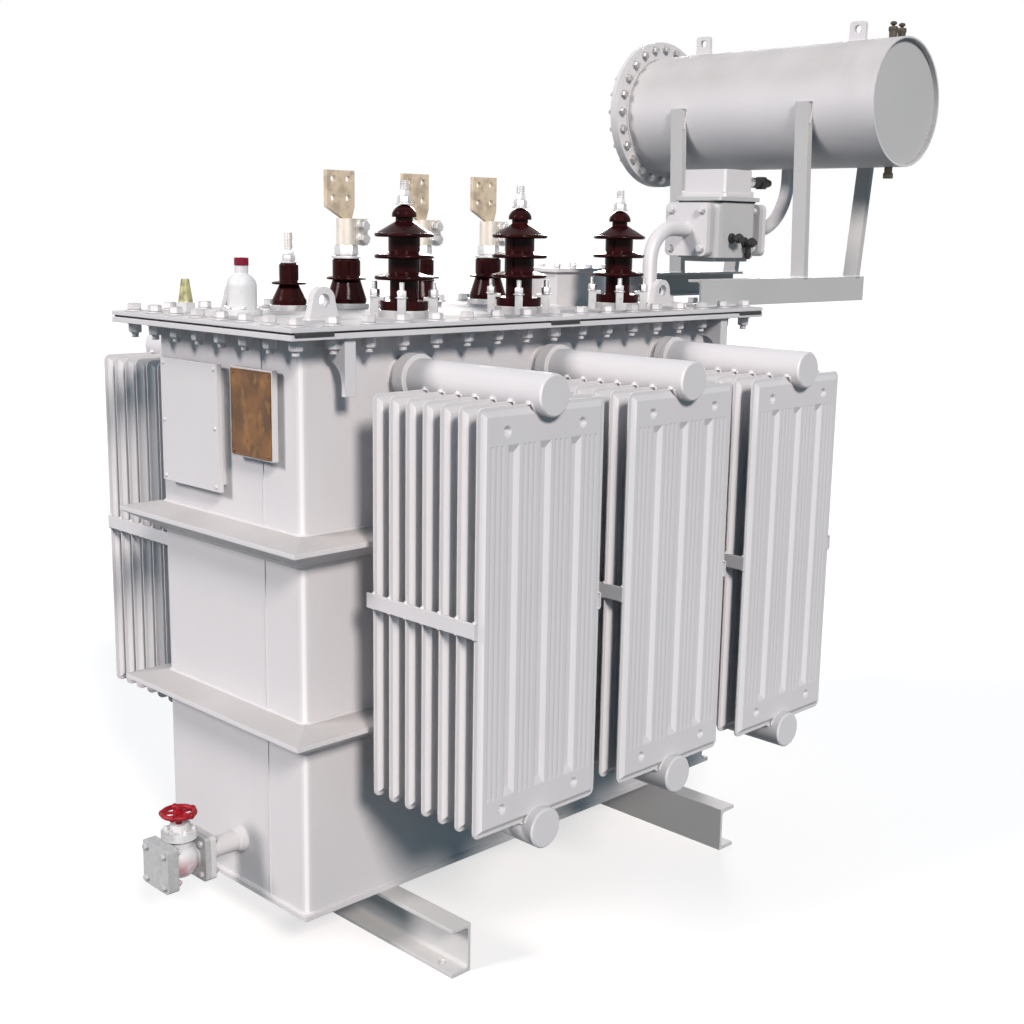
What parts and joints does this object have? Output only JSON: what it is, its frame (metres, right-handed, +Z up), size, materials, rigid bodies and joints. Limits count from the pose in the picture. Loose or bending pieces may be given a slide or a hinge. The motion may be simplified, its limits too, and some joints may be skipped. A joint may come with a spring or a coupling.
{
  "type": "power transformer",
  "caption": "Oil-filled power transformer: tall tank with radiator banks on both sides, porcelain bushings on the cover and a cylindrical conservator on brackets.",
  "frame": {"origin": "middle of the base, on the ground, at the centre of the holding-down holes", "axes": "+X along the tank towards the conservator, +Y across it towards the low-voltage side, +Z up"},
  "size_m": [2.147, 1.278, 1.949],
  "materials": {
    "paint": "semi-gloss pale grey paint",
    "gasket": "matt",
    "porcelain": "glossy dark brown glaze",
    "steel": "bright zinc",
    "copper": "tinned copper",
    "brass": "dull brass",
    "red_paint": "red paint"
  },
  "bodies": {
    "transformer": {"base_channels": "paint", "tank_floor": "paint", "tank_walls": "paint", "tank_rim": "paint", "cover_gasket": "gasket", "cover_plate": "paint", "stiffener_bands": "paint", "tank_hooks": "paint", "cover_lugs": "paint", "panels_near_a": "paint", "panels_near_b": "paint", "panels_near_c": "paint", "panels_far_a": "paint", "panels_far_b": "paint", "panels_far_c": "paint", "headers_near_a": "paint", "headers_near_b": "paint", "headers_near_c": "paint", "headers_far_a": "paint", "headers_far_b": "paint", "headers_far_c": "paint", "tank_stubs": "paint", "bushing_rings": "steel", "hv_bushings": "porcelain", "hv_terminals": "steel", "lv_bushings": "porcelain", "lv_terminals": "copper", "relief_valve": "steel", "relief_cap": "red_paint", "thermometer_pocket": "brass", "tap_switch_box": "paint", "relay_body": "paint", "relay_box": "paint", "relay_pipes": "paint", "conservator_shell": "paint", "conservator_end": "paint", "conservator_cover": "paint", "conservator_lugs": "paint", "conservator_plugs": "brass", "support_beams": "paint", "support_posts": "paint", "terminal_box": "paint", "plate_bracket": "paint", "rating_plate": "brass", "drain_valve": "steel"},
    "handwheel": {"drain_handwheel": "red_paint"}
  },
  "joints": [
    {"name": "handwheel_turn", "type": "hinge", "parent": "transformer", "child": "handwheel", "pos_m": [-0.768, -0.02, 0.295], "axis": [0, 0, 1], "range_deg": [0, 1800]}
  ]
}
